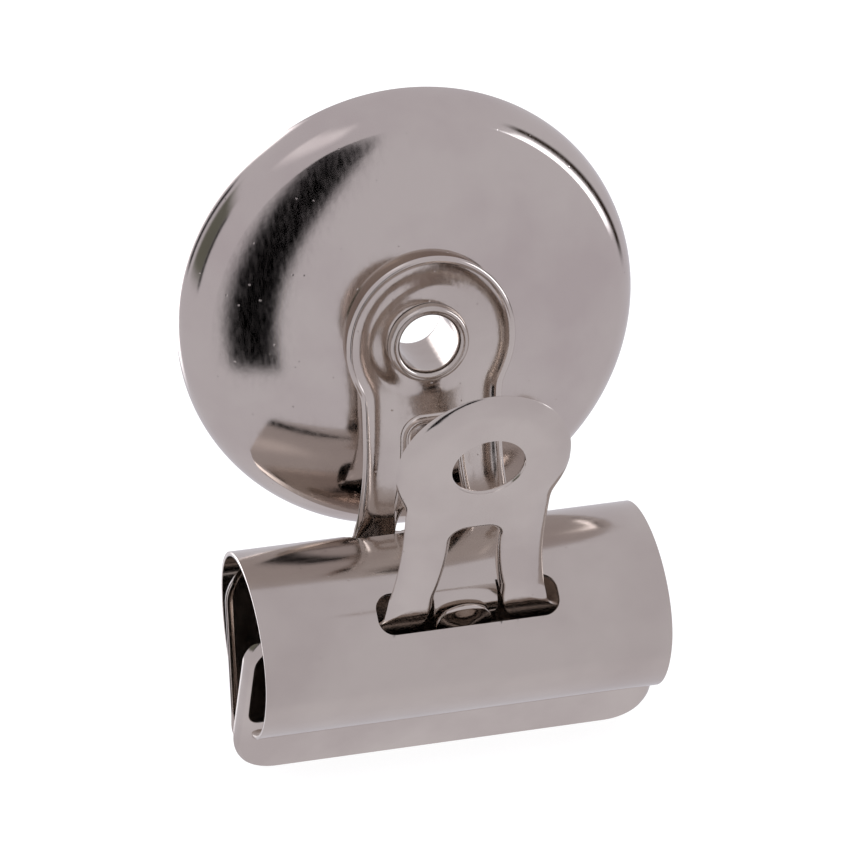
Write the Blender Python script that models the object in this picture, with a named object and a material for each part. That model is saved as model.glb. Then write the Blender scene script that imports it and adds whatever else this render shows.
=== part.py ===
"""Magnetic bulldog clip: a rolled spring, two stamped levers with jaws, and a riveted cup magnet.

Frame: +X along the clip, +Z up, and the magnet's flat back face in the plane y = 0, so that the
clip stands out towards -Y. The origin is the middle of that back face, on the eyelet's axis.

Two flat frames are used on the way. The mid frame (s, t) is a section across the clip: t runs up
the plane halfway between the two jaws, s runs from it towards the wall, and its origin is the
spring's centre. The blank frame (x, t) is a lever before it is bent, with its origin at the hole.
"""
import math

import bmesh
import bpy
import numpy as np
from mathutils import Vector

MM = 0.001
CLEARANCE = 0.3             # gap left between pieces that touch

# magnet cup and magnet
CUP_RADIUS = 18.0
CUP_SHEET = 0.6
SHOULDER_RADIUS = 3.95
SHOULDER_SWEEP = math.radians(55.0)
SEAT_RADIUS = 3.6           # flat seat of the lever at the top of the domed face
SEAT_HEIGHT = 6.05          # from the magnet's back to the seat
COUNTERBORE_RADIUS = 4.0
COUNTERBORE_DEPTH = 2.3

# eyelet
BORE_RADIUS = 2.3
BARREL_WALL = 0.2
FLANGE_RADIUS = 3.2
FLANGE_HEIGHT = 0.65

# lever and jaw stamping, blank frame
SHEET = 0.4
HEAD_HALF_WIDTH = 6.62
HEAD_TOP = 6.95
HOLE_OFFSET = 0.26          # the hole is punched a little to one side of the middle
LEG_HALF_WIDTH = 5.48       # outer edge of a leg at the neck
LEG_FLARE = 0.0151          # growth of that half width per square of the length below the neck
NECK = 8.0                  # distance of the neck below the hole
HOLE_TO_FULCRUM = 15.6
LEVER_LEAN = math.radians(11.0)
LEVER_BORDER = (1.94, 0.76, 74.5)   # border's quarter ellipse: across, deep, degrees swept
JAW_BORDER = (0.75, 1.0, 88.0)
WINDOW_BORDER = (0.75, 0.9, 80.0)
FLAT_BORDER = 6.0           # degrees swept where a border dies out
WINDOW_TOP = 6.8            # below the hole
WINDOW_HALF_TOP = 1.8
WINDOW_FLARE = 0.02         # as for the legs, from the neck down
WINDOW_CORNER = 1.1
FOOT_CORNER = 0.35
TAB_RADIUS = 2.15
CONE_RADIUS = 1.7           # shallow cone pressed outward in the tab
CONE_HEIGHT = 0.45
JAW_HALF_WIDTH = 16.8
JAW_TOP_BELOW_FULCRUM = 0.95
JAW_TOP_CORNER = 3.2
JAW_BOTTOM_CORNER = 3.6
LEG_FILLET = 1.2
JAW_DROP = 12.5             # depth of the bite line below the spring's centre

# spring body, mid frame
SPRING_SHEET = 0.35
SPRING_HALF_WIDTH = 7.7
SPRING_ABOVE = 6.05
SPRING_BELOW = 7.8
SPRING_LENGTH = 31.75
SPRING_CORNER = 0.8
FULCRUM_S = 5.6
FULCRUM_T = 4.4
SLOT_TOP_T = 5.35
SLOT_FOOT_T = 3.45
SLOT_END_GAP = 0.748        # from a leg to the end of its slot
SLOT_CORNER = 1.3
SLOT_OFFSET = 0.26          # the levers sit to one side in their slots
TONGUE_SIDE_GAP = 0.505     # from a leg to the side of the tongue
TONGUE_LENGTH = 2.85
TONGUE_RADIUS = 1.65        # the tongue curls in from the slot's top edge
TONGUE_CORNER = 0.5

# worked out from the sizes above
BARREL_RADIUS = BORE_RADIUS + BARREL_WALL
HOLE_RADIUS = BARREL_RADIUS + CLEARANCE
LEVER_FACE = SEAT_HEIGHT + CLEARANCE
FLARE_LENGTH = HOLE_TO_FULCRUM - NECK
SLOT_HALF_LENGTH = LEG_HALF_WIDTH + LEG_FLARE * FLARE_LENGTH ** 2 + SLOT_END_GAP
TONGUE_HALF_WIDTH = WINDOW_HALF_TOP + WINDOW_FLARE * FLARE_LENGTH ** 2 - TONGUE_SIDE_GAP
HOLE_S = FULCRUM_S + HOLE_TO_FULCRUM * math.sin(LEVER_LEAN)
HOLE_T = FULCRUM_T + HOLE_TO_FULCRUM * math.cos(LEVER_LEAN)
BITE_S = SHEET + CLEARANCE / 2
JAW_LEAN = math.atan2(FULCRUM_S - BITE_S, FULCRUM_T + JAW_DROP)
BLANK_BOTTOM = HOLE_TO_FULCRUM + (FULCRUM_T + JAW_DROP) / math.cos(JAW_LEAN)


def to_world(s, t):
    """Place a point of the mid frame: y and z in millimetres."""
    cos_a, sin_a = math.cos(LEVER_LEAN), math.sin(LEVER_LEAN)
    y = -LEVER_FACE + (s - HOLE_S) * cos_a - (t - HOLE_T) * sin_a
    z = (s - HOLE_S) * sin_a + (t - HOLE_T) * cos_a
    return y, z


def clear_scene():
    for obj in list(bpy.data.objects):
        bpy.data.objects.remove(obj, do_unlink=True)


def make_material(name, color, metallic, roughness):
    material = bpy.data.materials.new(name)
    material.use_nodes = True
    shader = material.node_tree.nodes["Principled BSDF"]
    shader.inputs["Base Color"].default_value = (*color, 1.0)
    shader.inputs["Metallic"].default_value = metallic
    shader.inputs["Roughness"].default_value = roughness
    return material


def add_object(name, bm, material, location=(0.0, 0.0, 0.0)):
    """Turn a bmesh in world millimetres into an object whose origin is at location."""
    offset = Vector(location)
    for vert in bm.verts:
        vert.co = (vert.co - offset) * MM
    mesh = bpy.data.meshes.new(name)
    bm.to_mesh(mesh)
    bm.free()
    mesh.shade_smooth()
    mesh.set_sharp_from_angle(angle=math.radians(35.0))
    obj = bpy.data.objects.new(name, mesh)
    obj.location = offset * MM
    mesh.materials.append(material)
    bpy.context.scene.collection.objects.link(obj)
    return obj


def turned(points, steps=60):
    """Turn a closed section of (radius, height) points about the eyelet's axis."""
    bm = bmesh.new()
    angles = [2.0 * math.pi * i / steps for i in range(steps)]
    rings = [
        [bm.verts.new((r * math.cos(a), -h, r * math.sin(a))) for r, h in points]
        for a in angles
    ]
    count = len(points)
    for i in range(steps):
        here, there = rings[i], rings[(i + 1) % steps]
        for j in range(count):
            k = (j + 1) % count
            bm.faces.new((here[j], here[k], there[k], there[j]))
    bmesh.ops.recalc_face_normals(bm, faces=bm.faces)
    return bm


def cup_section(inset, inner_radius):
    """Face of the cup from rim to centre, moved in by inset along its normal."""
    centre = CUP_RADIUS - SHOULDER_RADIUS
    points = []
    for a in np.linspace(0.0, SHOULDER_SWEEP, 6):
        reach = SHOULDER_RADIUS - inset
        points.append((centre + reach * math.cos(a), reach * math.sin(a)))
    crease = centre + SHOULDER_RADIUS * math.cos(SHOULDER_SWEEP)
    foot = SHOULDER_RADIUS * math.sin(SHOULDER_SWEEP)
    rise = SEAT_HEIGHT - foot
    for f in np.linspace(0.1, 1.0, 6):
        r = crease + (SEAT_RADIUS - crease) * f
        out = (r - SEAT_RADIUS) / (crease - SEAT_RADIUS)
        slope = 2.0 * rise * out / (crease - SEAT_RADIUS)
        drop = math.hypot(1.0, slope)
        points.append((r - inset * slope / drop, SEAT_HEIGHT - rise * out * out - inset / drop))
    points.append((inner_radius, SEAT_HEIGHT - inset))
    return points


def magnet_cup():
    outer = cup_section(0.0, HOLE_RADIUS)
    inner = cup_section(CUP_SHEET, HOLE_RADIUS)
    return turned(outer + inner[::-1])


def ring_magnet():
    front = cup_section(CUP_SHEET + CLEARANCE, HOLE_RADIUS)
    back = [
        (HOLE_RADIUS, COUNTERBORE_DEPTH),
        (COUNTERBORE_RADIUS, COUNTERBORE_DEPTH),
        (COUNTERBORE_RADIUS, 0.0),
    ]
    return turned(front + back)


def rolled_flange(start, height, steps=5):
    """Half-round roll of an eyelet, from its throat over the crown to its underside."""
    reach = FLANGE_RADIUS - BORE_RADIUS
    points = []
    for a in np.linspace(0.0, math.pi, steps + 1):
        r = BORE_RADIUS + reach * (1.0 - math.cos(a)) / 2.0
        points.append((r, start + height * math.sin(a)))
    return points


def eyelet():
    seat = LEVER_FACE + SHEET + CLEARANCE
    floor = COUNTERBORE_DEPTH - CLEARANCE
    front = rolled_flange(seat, FLANGE_HEIGHT)
    back = rolled_flange(floor, -FLANGE_HEIGHT)
    return turned(front + [(BARREL_RADIUS, seat), (BARREL_RADIUS, floor)] + back[::-1], steps=40)


def arc(cx, cy, radius, start, stop, steps):
    return [
        (cx + radius * math.cos(a), cy + radius * math.sin(a))
        for a in np.linspace(math.radians(start), math.radians(stop), steps + 1)
    ]


def resample(points, spacing):
    """Space the points of a closed outline evenly by length."""
    loop = np.array(points + points[:1])
    length = np.concatenate([[0.0], np.cumsum(np.hypot(*np.diff(loop, axis=0).T))])
    count = int(round(length[-1] / spacing))
    even = np.linspace(0.0, length[-1], count + 1)[:-1]
    return np.stack([np.interp(even, length, loop[:, i]) for i in range(2)], axis=1)


def outward(points, inside):
    """Unit normals of a closed outline, away from its inside, or into it for a hole."""
    along = np.roll(points, -1, axis=0) - np.roll(points, 1, axis=0)
    along /= np.hypot(along[:, 0], along[:, 1])[:, None]
    normal = np.stack([along[:, 1], -along[:, 0]], axis=1)
    following = np.roll(points, -1, axis=0)
    area = np.sum(points[:, 0] * following[:, 1] - following[:, 0] * points[:, 1])
    return normal if (area > 0.0) == inside else -normal


def leg_edge(t):
    """Half width of the blank below its hole: the round head running into the legs."""
    leg = LEG_HALF_WIDTH + LEG_FLARE * max(0.0, -t - NECK) ** 2
    head = HEAD_HALF_WIDTH * math.sqrt(max(0.0, 1.0 - (t / HEAD_TOP) ** 2))
    softness = 0.35
    return (head + leg + math.hypot(head - leg, softness)) / 2.0


def blank_outline():
    """Right half of the blank from the top of the head down, then mirrored."""
    half = [
        (HEAD_HALF_WIDTH * math.cos(a), HEAD_TOP * math.sin(a))
        for a in np.linspace(math.pi / 2, 0.02, 16)
    ]
    jaw_top = -(HOLE_TO_FULCRUM + JAW_TOP_BELOW_FULCRUM)
    fillet_top = jaw_top + LEG_FILLET
    half += [(leg_edge(t), t) for t in np.linspace(-0.6, fillet_top, 20)]
    fillet_x = leg_edge(fillet_top) + LEG_FILLET
    half += arc(fillet_x, fillet_top, LEG_FILLET, 180, 270, 5)[1:]
    top_x = JAW_HALF_WIDTH - JAW_TOP_CORNER
    half += arc(top_x, jaw_top - JAW_TOP_CORNER, JAW_TOP_CORNER, 90, 0, 6)
    low_x = JAW_HALF_WIDTH - JAW_BOTTOM_CORNER
    half += arc(low_x, JAW_BOTTOM_CORNER - BLANK_BOTTOM, JAW_BOTTOM_CORNER, 0, -90, 7)
    left = [(-x, t) for x, t in half[1:]]
    return resample(half[::-1] + left, 1.1)


def window_edge(t):
    return WINDOW_HALF_TOP + WINDOW_FLARE * max(0.0, -t - NECK) ** 2


def window_outline():
    """Window between the legs, with the round tab standing up from its bottom edge."""
    foot = -(HOLE_TO_FULCRUM + JAW_TOP_BELOW_FULCRUM + 1.6)
    tab_centre = foot + TAB_RADIUS * 0.35
    start = math.degrees(math.asin((foot - tab_centre) / TAB_RADIUS))
    top = -WINDOW_TOP
    half = arc(0.0, tab_centre, TAB_RADIUS, 90, start, 8)
    shoulder = top - WINDOW_CORNER
    sides = [(window_edge(t), t) for t in np.linspace(foot + FOOT_CORNER, shoulder, 12)]
    half += arc(sides[0][0] - FOOT_CORNER, sides[0][1], FOOT_CORNER, -90, 0, 2)
    half += sides[1:]
    half += arc(WINDOW_HALF_TOP - WINDOW_CORNER, shoulder, WINDOW_CORNER, 0, 90, 5)[1:]
    left = [(-x, t) for x, t in half[1:]]
    return resample(half + left[::-1], 0.65), tab_centre


def ramp(value, low, high):
    return np.clip((value - low) / (high - low), 0.0, 1.0)


def blend(first, second, share):
    """Blend two borders: their ellipses and sweeps at each point of an outline."""
    return [a + (b - a) * share for a, b in zip(first, second)]


def blank_border(points):
    """Border of the blank: deep on the lever, none along the jaw's edges, turned at its ends."""
    x, t = np.abs(points[:, 0]), points[:, 1]
    jaw_top = -(HOLE_TO_FULCRUM + JAW_TOP_BELOW_FULCRUM)
    on_jaw = ramp(-t, -jaw_top - 2.5, -jaw_top)
    above_bite = t + BLANK_BOTTOM
    end = ramp(x, JAW_HALF_WIDTH - 3.0, JAW_HALF_WIDTH - 0.6) * ramp(above_bite, 0.0, 4.5)
    flat = (JAW_BORDER[0], JAW_BORDER[1], FLAT_BORDER)
    return blend(blend(LEVER_BORDER, flat, on_jaw), JAW_BORDER, end * (on_jaw >= 1.0))


def window_border(points, tab_centre):
    """Border of the window: turned in along the legs, flat round the tab."""
    low = tab_centre + TAB_RADIUS
    up = ramp(points[:, 1], low - 0.6, low + 1.6)
    flat = (WINDOW_BORDER[0], WINDOW_BORDER[1], FLAT_BORDER)
    return blend(flat, WINDOW_BORDER, up)


def border_rings(points, normal, border, steps=4):
    """Rings of (x, t, depth) from the flat sheet to the edge of a turned border.

    The outer skin follows a quarter ellipse; the inner one is offset from it by the sheet.
    """
    across, deep, sweep = border
    sweep = np.radians(sweep)
    reach = across * np.sin(sweep)
    skins = ([], [])
    for i in range(steps + 1):
        turn = sweep * i / steps
        out = across * np.sin(turn) - reach
        depth = deep * (1.0 - np.cos(turn))
        lean_in, lean_deep = -deep * np.sin(turn), across * np.cos(turn)
        size = np.hypot(lean_in, lean_deep)
        for rings, thick in zip(skins, (0.0, SHEET)):
            shift = (out + thick * lean_in / size)[:, None]
            place = points + normal * shift
            rings.append(np.column_stack([place, depth + thick * lean_deep / size]))
    return skins


def add_ring(bm, ring):
    return [bm.verts.new((p[0], -p[2], p[1])) for p in ring]


def bridge(bm, first, second):
    count = len(first)
    for i in range(count):
        k = (i + 1) % count
        bm.faces.new((first[i], first[k], second[k], second[i]))


def fill_flat(bm, loops):
    """Fill the flat sheet between closed rings of vertices."""
    edges = []
    for loop in loops:
        for i, vert in enumerate(loop):
            following = loop[(i + 1) % len(loop)]
            edges.append(bm.edges.get((vert, following)) or bm.edges.new((vert, following)))
    bmesh.ops.triangle_fill(bm, use_beauty=True, use_dissolve=False, edges=edges)


def skinned_border(bm, points, inside, border):
    """Build a turned border and return its ring on the flat of each skin."""
    outer, inner = border_rings(points, outward(points, inside), border)
    sheets = [[add_ring(bm, ring) for ring in rings] for rings in (outer, inner)]
    for rings in sheets:
        for first, second in zip(rings, rings[1:]):
            bridge(bm, first, second)
    bridge(bm, sheets[0][-1], sheets[1][-1])
    return sheets[0][0], sheets[1][0]


def circle(radius, centre, depth, steps):
    return [
        (centre[0] + radius * math.cos(a), centre[1] + radius * math.sin(a), depth)
        for a in np.linspace(0.0, 2.0 * math.pi, steps + 1)[:-1]
    ]


def bend_at_fulcrum(bm, turn):
    """Bend the sheet below the fulcrum line by turn, over a short length."""
    half = 1.0
    start = -HOLE_TO_FULCRUM + half
    steps = 4
    for i in range(steps + 1):
        bmesh.ops.bisect_plane(
            bm,
            geom=bm.verts[:] + bm.edges[:] + bm.faces[:],
            dist=1e-5,
            plane_co=(0.0, 0.0, start - 2.0 * half * i / steps),
            plane_no=(0.0, 0.0, 1.0),
        )
    radius = 2.0 * half / turn
    for vert in bm.verts:
        below = start - vert.co.z
        if below <= 0.0:
            continue
        a = turn * min(1.0, below / (2.0 * half))
        extra = max(0.0, below - 2.0 * half)
        depth = -vert.co.y
        along = radius * math.sin(a) + extra * math.cos(a) - depth * math.sin(a)
        inward = radius * (1.0 - math.cos(a)) + extra * math.sin(a) + depth * math.cos(a)
        vert.co.y = -inward
        vert.co.z = start - along


def stamping():
    """One lever with its jaw, its hole at height 0 and its outer face in the seat's plane."""
    bm = bmesh.new()
    outline = blank_outline()
    border = skinned_border(bm, outline, True, blank_border(outline))
    window, tab_centre = window_outline()
    frame = skinned_border(bm, window, False, window_border(window, tab_centre))
    hole = (-HOLE_OFFSET, 0.0)
    holes = [add_ring(bm, circle(HOLE_RADIUS, hole, depth, 32)) for depth in (0.0, SHEET)]
    bridge(bm, holes[0], holes[1])
    for skin, depth in enumerate((0.0, SHEET)):
        tab = (0.0, tab_centre)
        cone = [
            add_ring(bm, circle(CONE_RADIUS * f, tab, depth - CONE_HEIGHT * (1.0 - f), 24))
            for f in (1.0, 0.66, 0.33)
        ]
        bridge(bm, cone[0], cone[1])
        bridge(bm, cone[1], cone[2])
        tip = bm.verts.new((0.0, CONE_HEIGHT - depth, tab_centre))
        for i, vert in enumerate(cone[2]):
            bm.faces.new((vert, cone[2][(i + 1) % len(cone[2])], tip))
        fill_flat(bm, [border[skin], frame[skin], holes[skin], cone[0]])
    bend_at_fulcrum(bm, JAW_LEAN - LEVER_LEAN)
    bmesh.ops.recalc_face_normals(bm, faces=bm.faces)
    for vert in bm.verts:
        vert.co.y -= LEVER_FACE
    return bm


def moved_aside(bm):
    """Bring the rear lever's hole onto the eyelet's axis."""
    for vert in bm.verts:
        vert.co.x += HOLE_OFFSET
    return bm


def turned_round(bm):
    """Turn a stamping to face its twin, half a turn about the middle plane's upward line."""
    y0, z0 = to_world(0.0, 0.0)
    point = Vector((0.0, y0, z0))
    normal = Vector((0.0, math.cos(LEVER_LEAN), math.sin(LEVER_LEAN)))
    for vert in bm.verts:
        vert.co -= 2.0 * (vert.co - point).dot(normal) * normal
        vert.co.x = -vert.co.x
    return bm


def spring_line(u):
    """Outer line of the spring and its outward normal: two half ellipses, u from the top."""
    tall = np.where(np.cos(u) > 0.0, SPRING_ABOVE, SPRING_BELOW)
    s, t = SPRING_HALF_WIDTH * np.sin(u), tall * np.cos(u)
    ns, nt = np.sin(u) / SPRING_HALF_WIDTH, np.cos(u) / tall
    size = np.hypot(ns, nt)
    return s, t, ns / size, nt / size


def lip_angle():
    """Place on the line where the lip's inner corner stops just clear of the jaw."""
    u = np.linspace(math.pi / 2, math.pi, 400)
    s, t, ns, nt = spring_line(u)
    corner_s, corner_t = s - SPRING_SHEET * ns, t - SPRING_SHEET * nt
    jaw_s = BITE_S + (corner_t + JAW_DROP) * math.tan(JAW_LEAN)
    gap = (corner_s - jaw_s) * math.cos(JAW_LEAN)
    return float(np.interp(-CLEARANCE, -gap, u))


def spring_section(count=720):
    """Length along the spring from its top, with the place and normal there."""
    lip = lip_angle()
    s, t, ns, nt = spring_line(np.linspace(-lip, lip, count))
    length = np.concatenate([[0.0], np.cumsum(np.hypot(np.diff(s), np.diff(t)))])
    return length - length[-1] / 2.0, s, t, ns, nt


def height_to_length(section, t_value):
    """Length along the section, from its top, where it passes a height on the wall side."""
    length, _, t, _, _ = section
    side = length > 0.0
    return float(np.interp(-t_value, -t[side], length[side]))


def rounded_rectangle(x0, x1, v0, v1, radius, steps=4):
    points = []
    for cx, cy, start in (
        (x1 - radius, v1 - radius, 0),
        (x0 + radius, v1 - radius, 90),
        (x0 + radius, v0 + radius, 180),
        (x1 - radius, v0 + radius, 270),
    ):
        points += arc(cx, cy, radius, start, start + 90, steps)
    return points


def slot_outline(top, foot, tongue):
    """Slot on the wall side with the tongue standing into it from its top edge."""
    w, corner = TONGUE_HALF_WIDTH, TONGUE_CORNER
    points = [(w, top)]
    points += arc(SLOT_HALF_LENGTH - SLOT_CORNER, top + SLOT_CORNER, SLOT_CORNER, -90, 0, 4)
    points += arc(SLOT_HALF_LENGTH - SLOT_CORNER, foot - SLOT_CORNER, SLOT_CORNER, 0, 90, 4)
    points += arc(SLOT_CORNER - SLOT_HALF_LENGTH, foot - SLOT_CORNER, SLOT_CORNER, 90, 180, 4)
    points += arc(SLOT_CORNER - SLOT_HALF_LENGTH, top + SLOT_CORNER, SLOT_CORNER, 180, 270, 4)
    points += [(-w, top)]
    points += arc(corner - w, tongue - corner, corner, 180, 90, 3)
    points += arc(w - corner, tongue - corner, corner, 90, 0, 3)
    return [(x + SLOT_OFFSET, v) for x, v in points]


def on_spring(section, v, depth):
    """Place of a point at a length v from the top and a depth under the outer face."""
    length, s, t, ns, nt = section
    place = min(max(v, length[0]), length[-1])
    base = np.array([np.interp(place, length, s), np.interp(place, length, t)])
    normal = np.array([np.interp(place, length, ns), np.interp(place, length, nt)])
    return base - depth * normal


def on_tongue(section, v, depth, top):
    """The same on a tongue, which leaves the spring's line on an arc at its root."""
    side = math.copysign(1.0, v)
    root = on_spring(section, side * top, 0.0)
    normal = root - on_spring(section, side * top, 1.0)
    along = side * np.array([normal[1], -normal[0]])
    turn = (abs(v) - top) / TONGUE_RADIUS
    centre = root - TONGUE_RADIUS * normal
    out = math.cos(turn) * normal + math.sin(turn) * along
    return centre + (TONGUE_RADIUS - depth) * out


def spring_body(rows=64):
    """Flat blank with its slots and tongues, given a thickness and rolled to its section."""
    section = spring_section()
    end = section[0][-1]
    top = height_to_length(section, SLOT_TOP_T)
    foot = height_to_length(section, SLOT_FOOT_T)
    tongue = top + TONGUE_LENGTH
    half = SPRING_LENGTH / 2.0
    sheet = rounded_rectangle(-half, half, -end, end, SPRING_CORNER)
    slot = slot_outline(top, foot, tongue)
    other = [(x, -v) for x, v in slot]
    bm = bmesh.new()
    loops = [[bm.verts.new((x, 0.0, v)) for x, v in loop] for loop in (sheet, slot, other)]
    fill_flat(bm, loops)
    for v in np.linspace(-end, end, rows + 1)[1:-1]:
        bmesh.ops.bisect_plane(
            bm,
            geom=bm.verts[:] + bm.edges[:] + bm.faces[:],
            dist=1e-5,
            plane_co=(0.0, 0.0, v),
            plane_no=(0.0, 0.0, 1.0),
        )
    made = bmesh.ops.extrude_face_region(bm, geom=bm.faces[:], use_keep_orig=True)
    for item in made["geom"]:
        if isinstance(item, bmesh.types.BMVert):
            item.co.y = SPRING_SHEET
    for vert in bm.verts:
        x, depth, v = vert.co
        in_tongue = abs(x - SLOT_OFFSET) < TONGUE_HALF_WIDTH + 1e-4
        if in_tongue and top < abs(v) < tongue + 1e-4:
            place = on_tongue(section, v, depth, top)
        else:
            place = on_spring(section, v, depth)
        vert.co = Vector((x, *to_world(*place)))
    bmesh.ops.recalc_face_normals(bm, faces=bm.faces)
    return bm


def build():
    clear_scene()
    nickel = (0.66, 0.64, 0.63)
    front_pivot = (0.0, *to_world(-FULCRUM_S, FULCRUM_T))
    rear_pivot = (0.0, *to_world(FULCRUM_S, FULCRUM_T))
    steel = {
        name: make_material(name, nickel, 1.0, roughness)
        for name, roughness in (
            ("spring_nickel", 0.2),
            ("lever_nickel", 0.18),
            ("cup_nickel", 0.24),
            ("eyelet_nickel", 0.2),
        )
    }
    ferrite = make_material("ferrite", (0.05, 0.05, 0.055), 0.0, 0.6)
    add_object("magnet_cup", magnet_cup(), steel["cup_nickel"])
    add_object("ring_magnet", ring_magnet(), ferrite)
    add_object("eyelet", eyelet(), steel["eyelet_nickel"])
    add_object("rear_lever", moved_aside(stamping()), steel["lever_nickel"])
    add_object("spring_body", spring_body(), steel["spring_nickel"], rear_pivot)
    add_object("front_lever", turned_round(stamping()), steel["lever_nickel"], front_pivot)


build()
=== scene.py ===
"""Magnetic bulldog clip in bright nickel plate, standing on a white table in a soft light tent."""
import math

import bmesh
import bpy
import numpy as np
from mathutils import Matrix, Vector
from mathutils.geometry import delaunay_2d_cdt


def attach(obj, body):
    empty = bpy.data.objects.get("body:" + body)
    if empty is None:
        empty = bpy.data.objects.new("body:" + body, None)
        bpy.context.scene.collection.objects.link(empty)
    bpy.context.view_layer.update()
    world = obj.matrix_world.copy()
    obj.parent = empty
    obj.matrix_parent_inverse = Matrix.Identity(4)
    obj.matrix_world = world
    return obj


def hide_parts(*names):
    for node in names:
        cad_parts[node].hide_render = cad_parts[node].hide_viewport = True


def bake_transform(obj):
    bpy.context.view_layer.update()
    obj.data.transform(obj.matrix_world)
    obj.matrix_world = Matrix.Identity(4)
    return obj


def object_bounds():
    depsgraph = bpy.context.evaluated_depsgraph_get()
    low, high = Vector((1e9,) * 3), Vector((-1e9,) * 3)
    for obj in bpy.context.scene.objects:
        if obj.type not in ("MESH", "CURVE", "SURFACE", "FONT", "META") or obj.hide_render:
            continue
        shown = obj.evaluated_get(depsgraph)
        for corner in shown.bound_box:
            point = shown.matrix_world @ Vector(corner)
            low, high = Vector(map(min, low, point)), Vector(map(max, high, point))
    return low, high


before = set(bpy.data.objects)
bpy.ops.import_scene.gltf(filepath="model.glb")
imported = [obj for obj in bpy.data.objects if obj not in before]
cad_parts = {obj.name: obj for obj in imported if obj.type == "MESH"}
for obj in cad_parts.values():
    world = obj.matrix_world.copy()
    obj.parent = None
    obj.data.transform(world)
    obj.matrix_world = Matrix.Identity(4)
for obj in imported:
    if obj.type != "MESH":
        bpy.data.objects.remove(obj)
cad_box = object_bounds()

MM = 0.001
CLEARANCE = 0.3

# magnet cup and eyelet, millimetres
CUP_RADIUS = 18.0
CUP_SHEET = 0.6
SHOULDER_RADIUS = 3.95
SHOULDER_SWEEP = math.radians(55.0)
SEAT_RADIUS = 3.6
SEAT_HEIGHT = 6.05
COUNTERBORE_DEPTH = 2.3
BORE_RADIUS = 2.3
BARREL_RADIUS = 2.5
FLANGE_RADIUS = 3.2
FLANGE_HEIGHT = 0.65
HOLE_RADIUS = BARREL_RADIUS + CLEARANCE
LEVER_FACE = SEAT_HEIGHT + CLEARANCE

# lever and jaw stamping, flat blank with the hole at height 0
SHEET = 0.4
HEAD_HALF_WIDTH = 6.62
HEAD_TOP = 6.95
HOLE_OFFSET = 0.26
LEG_HALF_WIDTH = 5.48
LEG_FLARE = 0.0151
NECK = 8.0
HOLE_TO_FULCRUM = 15.6
LEVER_LEAN = math.radians(11.0)
LEVER_BORDER = (1.94, 0.76, 74.5)
JAW_BORDER = (0.75, 1.0, 88.0)
WINDOW_BORDER = (0.75, 0.9, 80.0)
FLAT_BORDER = 6.0
WINDOW_TOP = 6.8
WINDOW_HALF_TOP = 1.8
WINDOW_FLARE = 0.02
WINDOW_CORNER = 1.1
FOOT_CORNER = 0.35
TAB_RADIUS = 2.15
CONE_RADIUS = 1.7
CONE_HEIGHT = 0.45
COLLAR_RADIUS = 4.7         # where the sheet starts to rise towards the riveted eyelet
COLLAR_HEIGHT = 0.24
JAW_HALF_WIDTH = 16.8
JAW_TOP_CORNER = 3.2
JAW_BOTTOM_CORNER = 3.6
LEG_FILLET = 1.2
JAW_DROP = 12.5
JAW_TOP = -(HOLE_TO_FULCRUM + 0.95)

# spring, section across the clip
SPRING_SHEET = 0.35
SPRING_HALF_WIDTH = 7.7
SPRING_ABOVE = 6.05
SPRING_BELOW = 7.8
SPRING_LENGTH = 31.75
SPRING_CORNER = 0.8
FULCRUM_S = 5.6
FULCRUM_T = 4.4
SLOT_TOP_T = 5.35
SLOT_FOOT_T = 3.45
SLOT_END_GAP = 0.748
SLOT_CORNER = 1.3
SLOT_OFFSET = 0.26
TONGUE_SIDE_GAP = 0.505
TONGUE_LENGTH = 2.85
TONGUE_RADIUS = 1.65
TONGUE_CORNER = 0.5

FLARE_LENGTH = HOLE_TO_FULCRUM - NECK
SLOT_HALF_LENGTH = LEG_HALF_WIDTH + LEG_FLARE * FLARE_LENGTH ** 2 + SLOT_END_GAP
TONGUE_HALF_WIDTH = WINDOW_HALF_TOP + WINDOW_FLARE * FLARE_LENGTH ** 2 - TONGUE_SIDE_GAP
HOLE_S = FULCRUM_S + HOLE_TO_FULCRUM * math.sin(LEVER_LEAN)
HOLE_T = FULCRUM_T + HOLE_TO_FULCRUM * math.cos(LEVER_LEAN)
BITE_S = SHEET + CLEARANCE / 2
JAW_LEAN = math.atan2(FULCRUM_S - BITE_S, FULCRUM_T + JAW_DROP)
BLANK_BOTTOM = HOLE_TO_FULCRUM + (FULCRUM_T + JAW_DROP) / math.cos(JAW_LEAN)

EDGE_DEPTHS = (0.12, 0.5, 0.88)     # rings on a cut edge, as shares of the sheet
EDGE_BULGES = (0.025, 0.04, 0.025)  # how far each stands out, millimetres

# steps of the surfaces, millimetres
BLANK_STEP = 0.28
WINDOW_STEP = 0.2
LEVER_GRID = 0.36
SPRING_STEP = 0.34
SLOT_STEP = 0.22
RIDGE_STEP = 0.25
SPRING_GRID = 0.42


def to_world(s, t):
    """Section frame to world: turn by the lever's lean, then move the hole onto the eyelet."""
    cos_a, sin_a = math.cos(LEVER_LEAN), math.sin(LEVER_LEAN)
    y = -LEVER_FACE + (s - HOLE_S) * cos_a - (t - HOLE_T) * sin_a
    z = (s - HOLE_S) * sin_a + (t - HOLE_T) * cos_a
    return y, z


# ---------------------------------------------------------------- outlines


def arc(cx, cy, radius, start, stop, steps):
    """Points on a circle between two angles in degrees."""
    a = np.radians(np.linspace(start, stop, steps + 1))
    return np.column_stack([cx + radius * np.cos(a), cy + radius * np.sin(a)])


def ring(radius, cx, cy, steps):
    """A closed circle of points."""
    return arc(cx, cy, radius, 0.0, 360.0, steps)[:-1]


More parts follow.
